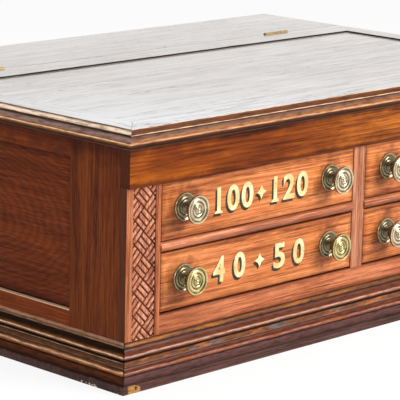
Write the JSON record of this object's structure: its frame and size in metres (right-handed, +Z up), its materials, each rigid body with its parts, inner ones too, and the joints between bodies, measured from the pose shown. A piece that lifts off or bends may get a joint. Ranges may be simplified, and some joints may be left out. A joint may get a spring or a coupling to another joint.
{
  "type": "spool cabinet",
  "caption": "Counter-top spool cabinet with two rows of drawers, turned brass knobs, carved pilasters, a stepped base moulding and a hinged panelled lid over a shallow compartment.",
  "frame": {"origin": "on the floor, in the middle of the box that holds the whole cabinet, knobs included", "axes": "+X to the right seen from the front, +Y from the drawers towards the back, +Z up"},
  "size_m": [0.8296, 0.5616, 0.3029],
  "materials": {
    "side_upright_wood": "dark stained, varnished",
    "side_rail_wood": "dark stained, varnished",
    "side_panel_wood": "dark stained, varnished",
    "pilaster_wood": "varnished, with a carved field",
    "frieze_wood": "varnished",
    "front_upright_wood": "varnished",
    "front_rail_wood": "varnished",
    "drawer_front_wood": "varnished",
    "base_front_wood": "dark stained, varnished",
    "base_side_wood": "dark stained, varnished",
    "plinth_wood": "dark stained, worn",
    "top_panel_wood": "polished",
    "top_border_wood": "polished",
    "top_end_border_wood": "polished",
    "top_board_wood": "polished",
    "back_wood": "thin stain",
    "inside_wood": "bare",
    "drawer_box_wood": "bare",
    "knob_brass": "aged",
    "hinge_brass": "aged"
  },
  "bodies": {
    "cabinet": {"left_front_stile": "side_upright_wood", "left_rear_stile": "side_upright_wood", "left_side_rails": "side_rail_wood", "left_side_panel": "side_panel_wood", "left_pilaster": "pilaster_wood", "right_front_stile": "side_upright_wood", "right_rear_stile": "side_upright_wood", "right_side_rails": "side_rail_wood", "right_side_panel": "side_panel_wood", "right_pilaster": "pilaster_wood", "frieze_board": "frieze_wood", "front_edge_strips": "front_upright_wood", "centre_divider": "front_upright_wood", "mid_rails": "front_rail_wood", "bottom_rail": "front_rail_wood", "back_rails": "back_wood", "back_panels": "back_wood", "dust_boards": "inside_wood", "inner_sides": "inside_wood", "centre_partition": "inside_wood", "compartment_floor": "inside_wood", "bottom_board": "inside_wood", "drawer_stops": "inside_wood", "base_front_moulding": "base_front_wood", "base_side_mouldings": "base_side_wood", "plinth_strips": "plinth_wood", "rear_top_board": "top_board_wood", "fixed_hinge_leaves": "hinge_brass", "hinge_pins": "hinge_brass"},
    "lid": {"lid_panel": "top_panel_wood", "lid_front_rail": "top_border_wood", "lid_rear_rail": "top_border_wood", "lid_left_rail": "top_end_border_wood", "lid_right_rail": "top_end_border_wood", "lid_hinge_leaves": "hinge_brass"},
    "upper_left_drawer": {"upper_left_drawer_front": "drawer_front_wood", "upper_left_drawer_sides": "drawer_box_wood", "upper_left_drawer_back": "drawer_box_wood", "upper_left_drawer_bottom": "drawer_box_wood", "upper_left_drawer_knobs": "knob_brass", "upper_left_drawer_backplates": "knob_brass"},
    "upper_right_drawer": {"upper_right_drawer_front": "drawer_front_wood", "upper_right_drawer_sides": "drawer_box_wood", "upper_right_drawer_back": "drawer_box_wood", "upper_right_drawer_bottom": "drawer_box_wood", "upper_right_drawer_knobs": "knob_brass", "upper_right_drawer_backplates": "knob_brass"},
    "lower_left_drawer": {"lower_left_drawer_front": "drawer_front_wood", "lower_left_drawer_sides": "drawer_box_wood", "lower_left_drawer_back": "drawer_box_wood", "lower_left_drawer_bottom": "drawer_box_wood", "lower_left_drawer_knobs": "knob_brass", "lower_left_drawer_backplates": "knob_brass"},
    "lower_right_drawer": {"lower_right_drawer_front": "drawer_front_wood", "lower_right_drawer_sides": "drawer_box_wood", "lower_right_drawer_back": "drawer_box_wood", "lower_right_drawer_bottom": "drawer_box_wood", "lower_right_drawer_knobs": "knob_brass", "lower_right_drawer_backplates": "knob_brass"}
  },
  "joints": [
    {"name": "lid_hinge", "type": "hinge", "parent": "cabinet", "child": "lid", "pos_m": [0, 0.13375, 0.3007], "axis": [-1, 0, 0], "range_deg": [0, 100]},
    {"name": "upper_left_drawer_slide", "type": "slide", "parent": "cabinet", "child": "upper_left_drawer", "axis": [0, -1, 0], "range_m": [0, 0.36]},
    {"name": "upper_right_drawer_slide", "type": "slide", "parent": "cabinet", "child": "upper_right_drawer", "axis": [0, -1, 0], "range_m": [0, 0.36]},
    {"name": "lower_left_drawer_slide", "type": "slide", "parent": "cabinet", "child": "lower_left_drawer", "axis": [0, -1, 0], "range_m": [0, 0.36]},
    {"name": "lower_right_drawer_slide", "type": "slide", "parent": "cabinet", "child": "lower_right_drawer", "axis": [0, -1, 0], "range_m": [0, 0.36]}
  ]
}
